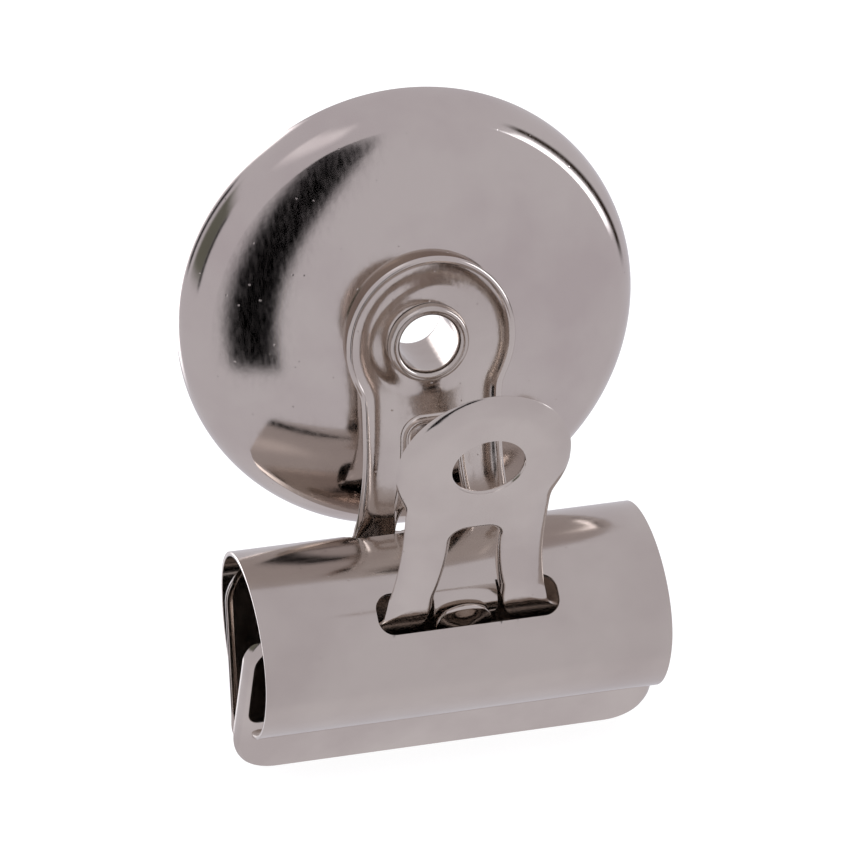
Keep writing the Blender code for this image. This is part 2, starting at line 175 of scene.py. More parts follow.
def resample(points, spacing):
    """Space the points of a closed outline evenly by length."""
    loop = np.vstack([points, points[:1]])
    length = np.concatenate([[0.0], np.cumsum(np.hypot(*np.diff(loop, axis=0).T))])
    even = np.linspace(0.0, length[-1], int(round(length[-1] / spacing)) + 1)[:-1]
    return np.column_stack([np.interp(even, length, loop[:, i]) for i in range(2)])


def densify(points, spacing):
    """Divide each side of a closed outline so that no step is longer than the spacing."""
    following = np.roll(points, -1, axis=0)
    parts = []
    for first, last in zip(points, following):
        count = max(1, int(math.ceil(np.hypot(*(last - first)) / spacing)))
        parts.append(first + (last - first) * np.arange(count)[:, None] / count)
    return np.vstack(parts)


def outward(points, is_hole=False):
    """Unit normals of a closed outline: its tangent turned a quarter, away from the metal."""
    along = np.roll(points, -1, axis=0) - np.roll(points, 1, axis=0)
    along /= np.hypot(along[:, 0], along[:, 1])[:, None]
    normal = np.column_stack([along[:, 1], -along[:, 0]])
    following = np.roll(points, -1, axis=0)
    area = np.sum(points[:, 0] * following[:, 1] - following[:, 0] * points[:, 1])
    return normal if (area > 0.0) != is_hole else -normal


def leg_edge(t):
    """Half width of the blank: an ellipse for the head and a parabola for the legs, softly joined."""
    leg = LEG_HALF_WIDTH + LEG_FLARE * np.maximum(0.0, -t - NECK) ** 2
    head = HEAD_HALF_WIDTH * np.sqrt(np.maximum(0.0, 1.0 - (t / HEAD_TOP) ** 2))
    return (head + leg + np.hypot(head - leg, 0.35)) / 2.0


def blank_outline():
    """Half of the blank from the top of the head down to the bite line, then mirrored."""
    a = np.linspace(math.pi / 2, 0.02, 60)
    t = np.linspace(-0.6, JAW_TOP + LEG_FILLET, 70)
    corner_x = JAW_HALF_WIDTH - JAW_TOP_CORNER
    low_x = JAW_HALF_WIDTH - JAW_BOTTOM_CORNER
    fillet_x = leg_edge(JAW_TOP + LEG_FILLET) + LEG_FILLET
    half = np.vstack([
        np.column_stack([HEAD_HALF_WIDTH * np.cos(a), HEAD_TOP * np.sin(a)]),
        np.column_stack([leg_edge(t), t]),
        arc(fillet_x, JAW_TOP + LEG_FILLET, LEG_FILLET, 180, 270, 12)[1:],
        arc(corner_x, JAW_TOP - JAW_TOP_CORNER, JAW_TOP_CORNER, 90, 0, 20),
        arc(low_x, JAW_BOTTOM_CORNER - BLANK_BOTTOM, JAW_BOTTOM_CORNER, 0, -90, 22),
    ])
    left = half[1:] * (-1.0, 1.0)
    return resample(np.vstack([half[::-1], left]), BLANK_STEP)


def window_outline():
    """Window between the legs with the round tab standing up from its bottom edge."""
    foot = JAW_TOP - 1.6
    tab_centre = foot + TAB_RADIUS * 0.35
    start = math.degrees(math.asin((foot - tab_centre) / TAB_RADIUS))
    shoulder = -WINDOW_TOP - WINDOW_CORNER
    t = np.linspace(foot + FOOT_CORNER, shoulder, 50)
    side = np.column_stack([WINDOW_HALF_TOP + WINDOW_FLARE * np.maximum(0.0, -t - NECK) ** 2, t])
    half = np.vstack([
        arc(0.0, tab_centre, TAB_RADIUS, 90, start, 30),
        arc(side[0, 0] - FOOT_CORNER, side[0, 1], FOOT_CORNER, -90, 0, 5),
        side[1:],
        arc(WINDOW_HALF_TOP - WINDOW_CORNER, shoulder, WINDOW_CORNER, 0, 90, 12)[1:],
    ])
    left = half[1:] * (-1.0, 1.0)
    return resample(np.vstack([half, left[::-1]]), WINDOW_STEP), tab_centre


def ramp(value, low, high):
    """0 below low, 1 above high, straight between."""
    return np.clip((value - low) / (high - low), 0.0, 1.0)


def soft_ramp(value, low, high):
    """The same with its ends eased."""
    f = ramp(value, low, high)
    return f * f * (3.0 - 2.0 * f)


def blend_borders(first, second, share):
    """Mix two borders point by point along an outline."""
    return [a + (b - a) * share for a, b in zip(first, second)]


def blank_border(points):
    """Border of the blank: dished on the lever, flat along the jaw, turned at its two ends."""
    x, t = np.abs(points[:, 0]), points[:, 1]
    on_jaw = ramp(-t, -JAW_TOP - 2.5, -JAW_TOP)
    above_bite = t + BLANK_BOTTOM
    end = ramp(x, JAW_HALF_WIDTH - 3.0, JAW_HALF_WIDTH - 0.6) * ramp(above_bite, 0.0, 4.5)
    flat = (JAW_BORDER[0], JAW_BORDER[1], FLAT_BORDER)
    return blend_borders(
        blend_borders(LEVER_BORDER, flat, on_jaw), JAW_BORDER, end * (on_jaw >= 1.0)
    )


def window_border(points, tab_centre):
    """Border of the window: turned in along the legs, flat round the tab."""
    low = tab_centre + TAB_RADIUS
    flat = (WINDOW_BORDER[0], WINDOW_BORDER[1], FLAT_BORDER)
    return blend_borders(flat, WINDOW_BORDER, ramp(points[:, 1], low - 0.6, low + 1.6))


def border_rings(points, normal, border, steps=10):
    """Rings (x, height, depth) of a dished border: a quarter ellipse and its offset by the sheet."""
    across, deep, sweep = border
    sweep = np.radians(sweep)
    skins = ([], [])
    for share in np.linspace(0.0, 1.0, steps + 1):
        turn = sweep * share
        out = across * (np.sin(turn) - np.sin(sweep))
        depth = deep * (1.0 - np.cos(turn))
        lean_in, lean_deep = -deep * np.sin(turn), across * np.cos(turn)
        size = np.hypot(lean_in, lean_deep)
        for rings, thick in zip(skins, (0.0, SHEET)):
            shift = (out + thick * lean_in / size)[:, None]
            rings.append(np.column_stack([points + normal * shift, depth + thick * lean_deep / size]))
    return skins


# ---------------------------------------------------------------- flat sheets


def inside(points, loop):
    """Even-odd rule: a ray to the right crosses the outline an odd number of times."""
    x0, y0 = loop.T
    x1, y1 = np.roll(x0, -1), np.roll(y0, -1)
    rise = np.where(y1 == y0, 1.0, y1 - y0)
    answers = []
    for part in np.array_split(points, 1 + len(points) // 2000):
        x, y = part[:, :1], part[:, 1:]
        crosses = (y0 > y) != (y1 > y)
        hits = crosses & (x < x0 + (y - y0) * (x1 - x0) / rise)
        answers.append(hits.sum(axis=1) % 2 == 1)
    return np.concatenate(answers)


def on_metal(points, loops):
    """Inside the first outline and outside all the others."""
    answer = inside(points, loops[0])
    for hole in loops[1:]:
        answer &= ~inside(points, hole)
    return answer


def nearest(points, others):
    """Distance from each point to the nearest of the others."""
    parts = np.array_split(points, 1 + len(points) // 1000)
    return np.concatenate([
        np.sqrt(((p[:, None, :] - others[None]) ** 2).sum(axis=2).min(axis=1)) for p in parts
    ])


def flat_mesh(loops, spacing, extra):
    """Points and triangles of a flat sheet: its outlines, chosen points, and an even grid."""
    low, high = loops[0].min(axis=0), loops[0].max(axis=0)
    xs = np.arange(low[0] // spacing, high[0] // spacing + 2) * spacing
    ys = (np.arange(low[1] // spacing, high[1] // spacing + 2) + 0.5) * spacing
    grid = np.stack(np.meshgrid(xs, ys), axis=2).reshape(-1, 2)
    extra = extra[on_metal(extra, loops)] if len(extra) else np.zeros((0, 2))
    fixed = np.vstack([*loops, extra])
    grid = grid[on_metal(grid, loops)]
    grid = grid[nearest(grid, fixed) > spacing * 0.45]
    points = np.vstack([fixed, grid])
    edges, start = [], 0
    for loop in loops:
        index = start + np.arange(len(loop))
        edges += np.column_stack([index, np.roll(index, -1)]).tolist()
        start += len(loop)
    made = delaunay_2d_cdt([Vector(p) for p in points], edges, [], 0, 1e-7)
    original = np.array([source[0] for source in made[3]])
    triangles = original[np.array(made[2])]
    middle = points[triangles].mean(axis=1)
    return points, triangles[on_metal(middle, loops)]


def strip(first, second):
    """Four-sided faces between two closed rings of vertex numbers, as pairs of triangles."""
    a, b = np.roll(first, -1), np.roll(second, -1)
    return np.vstack([np.column_stack([first, a, b]), np.column_stack([first, b, second])])


class Shell:
    """Vertices and triangles of one piece, gathered as whole arrays."""

    def __init__(self):
        self.points, self.faces, self.count = [], [], 0

    def add(self, points):
        index = self.count + np.arange(len(points))
        self.points.append(points)
        self.count += len(points)
        return index

    def bridge(self, rings):
        for first, second in zip(rings, rings[1:]):
            self.faces.append(strip(first, second))

    def arrays(self):
        return np.vstack(self.points), np.vstack(self.faces)


def make_mesh(name, points, faces, sharp=38.0):
    """A closed mesh in metres whose faces point outwards, smooth but for its sharp edges."""
    mesh = bpy.data.meshes.new(name)
    mesh.from_pydata((points * MM).tolist(), [], faces.tolist())
    bm = bmesh.new()
    bm.from_mesh(mesh)
    bmesh.ops.recalc_face_normals(bm, faces=bm.faces)
    bm.to_mesh(mesh)
    bm.free()
    mesh.shade_smooth()
    mesh.set_sharp_from_angle(angle=math.radians(sharp))
    return mesh


def add_piece(name, mesh, material):
    obj = bpy.data.objects.new(name, mesh)
    mesh.materials.append(material)
    bpy.context.scene.collection.objects.link(obj)
    return obj


# ---------------------------------------------------------------- turned pieces


def turned(name, profile, steps=288, wobble=None):
    """Surface of revolution: (radius, height) carried round the eyelet's axis; height is towards -Y."""
    angle = 2.0 * math.pi * np.arange(steps) / steps
    a, r = np.meshgrid(angle, profile[:, 0], indexing="ij")
    h = np.broadcast_to(profile[:, 1], a.shape)
    if wobble is not None:
        r, h = wobble(a, r, h)
    points = np.stack([r * np.cos(a), -h, r * np.sin(a)], axis=2).reshape(-1, 3)
    count = len(profile)
    rings = [np.arange(steps) * count + j for j in range(count)]
    faces = np.vstack([strip(rings[j], rings[(j + 1) % count]) for j in range(count)])
    return make_mesh(name, points, faces)


def cup_profile(inset):
    """Cup's face: a round shoulder, a crease, and a parabolic dome up to the flat seat."""
    centre = CUP_RADIUS - SHOULDER_RADIUS
    a = np.linspace(0.0, SHOULDER_SWEEP, 22)
    reach = SHOULDER_RADIUS - inset
    shoulder = np.column_stack([centre + reach * np.cos(a), reach * np.sin(a)])
    crease = centre + SHOULDER_RADIUS * math.cos(SHOULDER_SWEEP)
    rise = SEAT_HEIGHT - SHOULDER_RADIUS * math.sin(SHOULDER_SWEEP)
    width = crease - SEAT_RADIUS
    f = np.concatenate([[0.025, 0.05], np.linspace(0.08, 1.0, 30)])
    r = crease - width * f
    out = (r - SEAT_RADIUS) / width
    slope = 2.0 * rise * out / width
    drop = np.hypot(1.0, slope)
    dome = np.column_stack([
        r - inset * slope / drop, SEAT_HEIGHT - rise * out * out - inset / drop
    ])
    flat = np.column_stack([[3.2, HOLE_RADIUS], [SEAT_HEIGHT - inset] * 2])
    return np.vstack([shoulder, dome, flat])


def cup_mesh():
    """Outer and inner skins of the cup, joined by a rounded cut rim and the punched hole."""
    outer, inner = cup_profile(0.0), cup_profile(CUP_SHEET)
    outer[0, 1] = 0.06
    rim = np.array([[CUP_RADIUS - 0.06, 0.0], [CUP_RADIUS - CUP_SHEET + 0.05, 0.0]])
    return turned("magnet_cup_drawn", np.vstack([rim[:1], outer, inner[::-1], rim[1:]]), 320)


def eyelet_mesh():
    """Barrel with both ends rolled over in half rounds, the front one a little uneven."""
    seat = LEVER_FACE + SHEET + CLEARANCE
    floor = COUNTERBORE_DEPTH - CLEARANCE
    a = np.linspace(0.0, math.pi, 22)
    r = BORE_RADIUS + (FLANGE_RADIUS - BORE_RADIUS) * (1.0 - np.cos(a)) / 2.0
    front = np.column_stack([r, seat + FLANGE_HEIGHT * np.sin(a) ** 0.9])
    back = np.column_stack([r, floor - FLANGE_HEIGHT * np.sin(a) ** 0.9])
    under = np.array([[BARREL_RADIUS, seat], [BARREL_RADIUS, floor]])

    def uneven(angle, radius, height):
        share = soft_ramp(radius, BORE_RADIUS + 0.2, FLANGE_RADIUS)
        lobes = np.sin(3.0 * angle + 0.7) * 0.6 + np.sin(7.0 * angle) * 0.4
        return radius - 0.05 * share * (1.0 + lobes) / 2.0, height

    return turned("eyelet_rolled", np.vstack([front, under, back[::-1]]), 160, uneven)


# ---------------------------------------------------------------- stampings


def bend_at_fulcrum(points):
    """Roll the sheet below the fulcrum onto a 2 mm arc and leave it straight after that."""
    turn, half = JAW_LEAN - LEVER_LEAN, 1.0
    start = -HOLE_TO_FULCRUM + half
    x, t, depth = points.T
    below = start - t
    a = turn * np.clip(below / (2.0 * half), 0.0, 1.0)
    extra = np.maximum(0.0, below - 2.0 * half)
    radius = 2.0 * half / turn
    along = radius * np.sin(a) + extra * np.cos(a) - depth * np.sin(a)
    inward = radius * (1.0 - np.cos(a)) + extra * np.sin(a) + depth * np.cos(a)
    flat = below <= 0.0
    y = -LEVER_FACE - np.where(flat, depth, inward)
    return np.column_stack([x, y, np.where(flat, t, start - along)])


def cut_edge(shell, outer, inner, direction):
    """Rings that round a cut edge between the last rings of two skins."""
    p, q = np.vstack(shell.points)[outer], np.vstack(shell.points)[inner]
    rings = [outer]
    for share, bulge in zip(EDGE_DEPTHS, EDGE_BULGES):
        rings.append(shell.add(p + (q - p) * share + direction * bulge))
    shell.bridge(rings + [inner])


def edge_direction(previous, last, other):
    """Way out of a cut edge: along the outer skin, square to the line through the sheet."""
    across = other - last
    across /= np.linalg.norm(across, axis=1)[:, None]
    ahead = last - previous
    ahead -= across * np.sum(ahead * across, axis=1)[:, None]
    return ahead / np.linalg.norm(ahead, axis=1)[:, None]


def pressed(x, t, tab_centre, collar):
    """Depth pressed into the flat: a collar drawn up round the riveted hole, and the tab's cone."""
    r = np.hypot(x + HOLE_OFFSET, t)
    depth = collar * (1.0 - soft_ramp(r, HOLE_RADIUS + 0.3, COLLAR_RADIUS))
    tab = np.hypot(x, t - tab_centre) / CONE_RADIUS
    return depth - CONE_HEIGHT * np.clip(1.0 - tab, 0.0, 0.93)


def stamping(collar):
    """One lever with its jaw: flat sheet, dished borders, cut edges, and the bend, as arrays."""
    outline = blank_outline()
    window, tab_centre = window_outline()
    hole = ring(HOLE_RADIUS, -HOLE_OFFSET, 0.0, 88)
    borders = [
        border_rings(outline, outward(outline), blank_border(outline)),
        border_rings(window, outward(window, True), window_border(window, tab_centre)),
    ]
    loops = [borders[0][0][0][:, :2], borders[1][0][0][:, :2], hole]
    cone = [ring(CONE_RADIUS * f, 0.0, tab_centre, 48) for f in (1.0, 0.75, 0.5, 0.25, 0.07)]
    extra = cone + [np.array([[0.0, tab_centre]])]
    if collar:
        rounds = np.linspace(HOLE_RADIUS, COLLAR_RADIUS + 0.2, 14)[1:]
        extra += [ring(r, -HOLE_OFFSET, 0.0, 110) for r in rounds]
    flat, triangles = flat_mesh(loops, LEVER_GRID, np.vstack(extra))
    depth = pressed(flat[:, 0], flat[:, 1], tab_centre, collar)
    sizes = np.cumsum([0] + [len(loop) for loop in loops])
    shell = Shell()
    skins = []
    for skin in (0, 1):
        index = shell.add(np.column_stack([flat, depth + skin * SHEET]))
        shell.faces.append(index[triangles])
        ends = []
        for k, border in enumerate(borders):
            rings = [index[sizes[k]:sizes[k + 1]]]
            rings += [shell.add(points) for points in border[skin][1:]]
            shell.bridge(rings)
            ends.append(rings[-1])
        ends.append(index[sizes[2]:sizes[3]])
        skins.append(ends)
    for k, border in enumerate(borders):
        direction = edge_direction(border[0][-2], border[0][-1], border[1][-1])
        cut_edge(shell, skins[0][k], skins[1][k], direction)
    inward = np.column_stack([-outward(hole), np.zeros(len(hole))])
    cut_edge(shell, skins[0][2], skins[1][2], inward)
    points, faces = shell.arrays()
    return bend_at_fulcrum(points), faces


def turned_round(points):
    """Half a turn about the middle plane's upward line."""
    point = np.array([0.0, *to_world(0.0, 0.0)])
    normal = np.array([0.0, math.cos(LEVER_LEAN), math.sin(LEVER_LEAN)])
    distance = (points - point) @ normal
    points = points - 2.0 * distance[:, None] * normal
    return points * (-1.0, 1.0, 1.0)


# ---------------------------------------------------------------- spring


def spring_line(u):
    """Outer line of the spring and its normal: two half ellipses, u from the top."""
    tall = np.where(np.cos(u) > 0.0, SPRING_ABOVE, SPRING_BELOW)
    s, t = SPRING_HALF_WIDTH * np.sin(u), tall * np.cos(u)
    ns, nt = np.sin(u) / SPRING_HALF_WIDTH, np.cos(u) / tall
    size = np.hypot(ns, nt)
    return s, t, ns / size, nt / size


def lip_angle():
    """Place on the line where the lip's inner corner stops just clear of the jaw."""
    u = np.linspace(math.pi / 2, math.pi, 400)
    s, t, ns, nt = spring_line(u)
    corner_s, corner_t = s - SPRING_SHEET * ns, t - SPRING_SHEET * nt
    jaw_s = BITE_S + (corner_t + JAW_DROP) * math.tan(JAW_LEAN)
    return float(np.interp(-CLEARANCE, -(corner_s - jaw_s) * math.cos(JAW_LEAN), u))


LIP = lip_angle()
SECTION_S, SECTION_T, SECTION_NS, SECTION_NT = spring_line(np.linspace(-LIP, LIP, 4001))
SECTION_V = np.concatenate([[0.0], np.cumsum(np.hypot(np.diff(SECTION_S), np.diff(SECTION_T)))])
SECTION_V -= SECTION_V[-1] / 2.0


def height_to_length(t_value):
    """Length along the section, from its top, where it passes a height on the wall side."""
    side = SECTION_V > 0.0
    return float(np.interp(-t_value, -SECTION_T[side], SECTION_V[side]))


SLOT_TOP = height_to_length(SLOT_TOP_T)
SLOT_FOOT = height_to_length(SLOT_FOOT_T)
TONGUE_TIP = SLOT_TOP + TONGUE_LENGTH


def on_spring(v, depth):
    """Rolled sheet: a length along the section's line, then in along its normal by the depth."""
    s, t, ns, nt = (
        np.interp(v, SECTION_V, line) for line in (SECTION_S, SECTION_T, SECTION_NS, SECTION_NT)
    )
    return s - depth * ns, t - depth * nt, ns, nt


def rolled(x, v, depth):
    """Blank of the spring to world: the section's line, and an arc of its own for each tongue."""
    s, t, _, _ = on_spring(v, depth)
    side = np.sign(v)
    root_s, root_t, ns, nt = on_spring(side * SLOT_TOP, 0.0)
    turn = (np.abs(v) - SLOT_TOP) / TONGUE_RADIUS
    out_s = np.cos(turn) * ns + np.sin(turn) * side * nt
    out_t = np.cos(turn) * nt - np.sin(turn) * side * ns
    curl_s = root_s - TONGUE_RADIUS * ns + (TONGUE_RADIUS - depth) * out_s
    curl_t = root_t - TONGUE_RADIUS * nt + (TONGUE_RADIUS - depth) * out_t
    tongue = np.abs(x - SLOT_OFFSET) < TONGUE_HALF_WIDTH + 0.06
    tongue &= (np.abs(v) > SLOT_TOP) & (np.abs(v) < TONGUE_TIP + 0.06)
    y, z = to_world(np.where(tongue, curl_s, s), np.where(tongue, curl_t, t))
    return np.column_stack([x, y, z])


def rounded_rectangle(half_x, half_v, radius):
    """Four quarter circles, with a point in the middle of each side."""
    return np.vstack([
        arc(half_x - radius, half_v - radius, radius, 0, 90, 8),
        arc(radius - half_x, half_v - radius, radius, 90, 180, 8), [[-half_x, 0.0]],
        arc(radius - half_x, radius - half_v, radius, 180, 270, 8),
        arc(half_x - radius, radius - half_v, radius, 270, 360, 8), [[half_x, 0.0]],
    ])


def slot_outline():
    """Slot with the tongue standing into it from its top edge."""
    w, corner = TONGUE_HALF_WIDTH, TONGUE_CORNER
    end = SLOT_HALF_LENGTH - SLOT_CORNER
    upper, lower = SLOT_TOP + SLOT_CORNER, SLOT_FOOT - SLOT_CORNER
    loop = np.vstack([
        [[w, SLOT_TOP]],
        arc(end, upper, SLOT_CORNER, -90, 0, 10), arc(end, lower, SLOT_CORNER, 0, 90, 10),
        arc(-end, lower, SLOT_CORNER, 90, 180, 10), arc(-end, upper, SLOT_CORNER, 180, 270, 10),
        [[-w, SLOT_TOP]],
        arc(corner - w, TONGUE_TIP - corner, corner, 180, 90, 6),
        arc(w - corner, TONGUE_TIP - corner, corner, 90, 0, 6),
    ])
    return loop + (SLOT_OFFSET, 0.0)


def burr(x, v):
    """Ragged lip that the punch raised along the slot's lower edge, millimetres."""
    near = 1.0 - soft_ramp(np.abs(np.abs(v) - SLOT_FOOT), 0.02, 0.2)
    within = 1.0 - soft_ramp(np.abs(x - SLOT_OFFSET), SLOT_HALF_LENGTH - 1.4, SLOT_HALF_LENGTH - 0.6)
    teeth = 0.5 + 0.3 * np.sin(9.7 * x) + 0.2 * np.sin(23.0 * x + 1.3)
    return 0.09 * near * within * teeth


def spring_meshes():
    """Whole rolled sheet, then the same triangles shared out at the ridge, with their normals."""
    end = SECTION_V[-1]
    half = SPRING_LENGTH / 2.0
    sheet = densify(rounded_rectangle(half, end, SPRING_CORNER), SPRING_STEP)
    slot = densify(slot_outline(), SLOT_STEP)
    loops = [sheet, slot, slot * (1.0, -1.0)]
    ridge = np.arange(RIDGE_STEP - half, half - 0.1, RIDGE_STEP)
    root = np.linspace(-TONGUE_HALF_WIDTH, TONGUE_HALF_WIDTH, 21)[1:-1] + SLOT_OFFSET
    extra = np.vstack([
        np.column_stack([ridge, np.zeros_like(ridge)]),
        np.column_stack([root, np.full_like(root, SLOT_TOP)]),
        np.column_stack([root, np.full_like(root, -SLOT_TOP)]),
    ])
    flat, triangles = flat_mesh(loops, SPRING_GRID, extra)
    sizes = np.cumsum([0] + [len(loop) for loop in loops])
    shell = Shell()
    raised = -burr(flat[:, 0], flat[:, 1])
    levels = (raised, np.full(len(flat), SPRING_SHEET))
    skins = [shell.add(np.column_stack([flat, level])) for level in levels]
    for index in skins:
        shell.faces.append(index[triangles])
    for k, loop in enumerate(loops):
        way = np.column_stack([outward(loop, k > 0), np.zeros(len(loop))])
        span = slice(sizes[k], sizes[k + 1])
        cut_edge(shell, skins[0][span], skins[1][span], way)
    blank, faces = shell.arrays()
    points = rolled(*blank.T)
    whole = make_mesh("spring_whole", points, faces)
    corners = np.empty(len(whole.loops) * 3, dtype=np.float32)
    whole.corner_normals.foreach_get("vector", corners)
    corners = corners.reshape(-1, 3, 3)
    oriented = np.empty(len(whole.loops), dtype=np.int32)
    whole.loops.foreach_get("vertex_index", oriented)
    oriented = oriented.reshape(-1, 3)
    halves = []
    for name, side in (("spring_rear_half", 1.0), ("spring_front_half", -1.0)):
        chosen = side * blank[oriented, 1].mean(axis=1) > 0.0
        used, renumbered = np.unique(oriented[chosen], return_inverse=True)
        mesh = bpy.data.meshes.new(name)
        mesh.from_pydata((points[used] * MM).tolist(), [], renumbered.reshape(-1, 3).tolist())
        mesh.shade_smooth()
        mesh.normals_split_custom_set(corners[chosen].reshape(-1, 3).tolist())
        halves.append(mesh)
    bpy.data.meshes.remove(whole)
    return halves


# ---------------------------------------------------------------- finishes


PIT_SPACING = 1.1       # millimetres between the plating's pits
PIT_DEPTH = 0.012
CLOUD_SIZE = 9.0        # width of a cloudy patch in the plating
FERRITE_GRAIN = 0.35


def linear(hex_colour):
    """sRGB hex to linear light: the standard curve, channel by channel."""
    parts = [int(hex_colour[i:i + 2], 16) / 255.0 for i in (1, 3, 5)]
    return [c / 12.92 if c <= 0.04045 else ((c + 0.055) / 1.055) ** 2.4 for c in parts]


def node(tree, kind, settings=(), **links):
    """Add one node, set its own settings and input values, and link named inputs to sockets."""
    made = tree.nodes.new(kind)
    for key, value in dict(settings).items():
        if isinstance(key, str) and hasattr(made, key):
            setattr(made, key, value)
        else:
            made.inputs[key].default_value = value
    for key, socket in links.items():
        name = int(key[1:]) if key[0] == "i" and key[1:].isdigit() else key.replace("_", " ")
        tree.links.new(socket, made.inputs[name])
    return made


def new_material(name, base, metallic, roughness):
    material = bpy.data.materials.new(name)
    material.use_nodes = True
    shader = material.node_tree.nodes["Principled BSDF"]
    shader.inputs["Base Color"].default_value = (*linear(base), 1.0)
    shader.inputs["Metallic"].default_value = metallic
    shader.inputs["Roughness"].default_value = roughness
    return material, material.node_tree, shader


def nickel(name, base, tint, roughness, grain, peel, peel_mm):
    """Bright nickel plate on stamped mild steel.

    A warm grey mirror with a faint mauve cloudiness, the sheet's own rolling marks showing
    through as fine grain, a slight orange peel, and scattered pits. grain is the rolling marks'
    pitch in millimetres along x, y and z, peel_mm the peel's pitch and peel its depth. Real
    rolling marks are finer still: they are drawn this coarse so that they show.
    """
    material, tree, shader = new_material(name, base, 1.0, roughness)
    coords = node(tree, "ShaderNodeTexCoord").outputs["Object"]
    fine = [1.0 / (MM * size) for size in grain]
    stretched = node(tree, "ShaderNodeMapping", {"Scale": fine}, Vector=coords).outputs[0]
    lines = node(tree, "ShaderNodeTexNoise", {"Scale": 1.0, "Detail": 3.0}, Vector=stretched)
    soft = node(
        tree, "ShaderNodeTexNoise", {"Scale": 1.0 / (MM * peel_mm), "Detail": 2.0}, Vector=coords
    )
    pits = node(tree, "ShaderNodeTexVoronoi", {"Scale": 1.0 / (MM * PIT_SPACING)}, Vector=coords)
    pit = node(
        tree, "ShaderNodeMapRange",
        {"From Min": 0.035, "From Max": 0.085, "To Min": 0.0, "To Max": 1.0},
        Value=pits.outputs["Distance"],
    )
    cloud = node(
        tree, "ShaderNodeTexNoise", {"Scale": 1.0 / (MM * CLOUD_SIZE), "Detail": 4.0}, Vector=coords
    )
    colour = node(
        tree, "ShaderNodeMix",
        {"data_type": "RGBA", 6: (*linear(base), 1.0), 7: (*linear(tint), 1.0)},
        i0=node(
            tree, "ShaderNodeMapRange", {"From Min": 0.4, "From Max": 0.65},
            Value=cloud.outputs["Fac"],
        ).outputs[0],
    )
    tree.links.new(colour.outputs[2], shader.inputs["Base Color"])
    gloss = node(
        tree, "ShaderNodeMapRange",
        {"From Min": 0.3, "From Max": 0.7, "To Min": roughness * 0.75, "To Max": roughness * 1.3},
        Value=lines.outputs["Fac"],
    )
    tree.links.new(gloss.outputs[0], shader.inputs["Roughness"])
    first = node(
        tree, "ShaderNodeBump", {"Strength": 1.0, "Distance": MM * peel}, Height=soft.outputs["Fac"]
    )
    second = node(
        tree, "ShaderNodeBump", {"Strength": 1.0, "Distance": MM * peel * 0.16},
        Height=lines.outputs["Fac"], Normal=first.outputs[0],
    )
    third = node(
        tree, "ShaderNodeBump", {"Strength": 0.6, "Distance": MM * PIT_DEPTH},
        Height=pit.outputs[0], Normal=second.outputs[0],
    )
    tree.links.new(third.outputs[0], shader.inputs["Normal"])
    return material


def ferrite_material():
    """Sintered strontium ferrite, ground flat: dull charcoal with a fine dark grain."""
    material, tree, shader = new_material("ground_ferrite", "#3A393B", 0.0, 0.62)
    coords = node(tree, "ShaderNodeTexCoord").outputs["Object"]
    grain = node(
        tree, "ShaderNodeTexNoise", {"Scale": 1.0 / (MM * FERRITE_GRAIN), "Detail": 5.0}, Vector=coords
    )
    colour = node(
        tree, "ShaderNodeMix",
        {"data_type": "RGBA", 6: (*linear("#2B2A2C"), 1.0), 7: (*linear("#4A494B"), 1.0)},
        i0=grain.outputs["Fac"],
    )
    tree.links.new(colour.outputs[2], shader.inputs["Base Color"])
    bump = node(
        tree, "ShaderNodeBump", {"Strength": 0.8, "Distance": MM * 0.03},
        Height=grain.outputs["Fac"],
    )
    tree.links.new(bump.outputs[0], shader.inputs["Normal"])
    return material


cup_nickel = nickel(
    "bright_nickel_on_drawn_cup", "#CFC6BF", "#C6BBB6",
    roughness=0.1, grain=(0.3, 6.0, 0.9), peel=0.0022, peel_mm=0.7,
)
lever_nickel = nickel(
    "bright_nickel_on_levers", "#D2C9C1", "#C6BCB5",
    roughness=0.12, grain=(0.4, 3.0, 1.5), peel=0.005, peel_mm=0.7,
)
spring_nickel = nickel(
    "bright_nickel_on_spring", "#CDC4BC", "#C4BAB3",
    roughness=0.14, grain=(5.0, 0.3, 0.3), peel=0.004, peel_mm=1.1,
)
eyelet_nickel = nickel(
    "bright_nickel_on_eyelet", "#CDC5BD", "#BDB2AA",
    roughness=0.14, grain=(0.3, 2.0, 0.3), peel=0.008, peel_mm=0.5,
)


# ---------------------------------------------------------------- pieces

cup = add_piece("magnet_cup_drawn", cup_mesh(), cup_nickel)
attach(cup, "magnet_and_rear_lever")
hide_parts("magnet_cup")

eyelet = add_piece("eyelet_rolled", eyelet_mesh(), eyelet_nickel)
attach(eyelet, "magnet_and_rear_lever")
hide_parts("eyelet")

rear_points, rear_faces = stamping(COLLAR_HEIGHT)
rear_mesh = make_mesh("rear_lever_stamped", rear_points + (HOLE_OFFSET, 0.0, 0.0), rear_faces)
rear_lever = add_piece("rear_lever_stamped", rear_mesh, lever_nickel)
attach(rear_lever, "magnet_and_rear_lever")
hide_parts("rear_lever")

front_points, front_faces = stamping(0.0)
front_mesh = make_mesh("front_lever_stamped", turned_round(front_points), front_faces)
front_lever = add_piece("front_lever_stamped", front_mesh, lever_nickel)
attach(front_lever, "front")
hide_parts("front_lever")

# the spring in two halves, split at its ridge, each keeping the whole sheet's smooth normals
rear_half_mesh, front_half_mesh = spring_meshes()
spring_rear = add_piece("spring_rear_half", rear_half_mesh, spring_nickel)
spring_front = add_piece("spring_front_half", front_half_mesh, spring_nickel)
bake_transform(spring_rear)
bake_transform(spring_front)
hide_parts("spring_body")
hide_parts("spring_body")

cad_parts["ring_magnet"].material_slots[0].material = ferrite_material()


# ---------------------------------------------------------------- table, light tent and camera

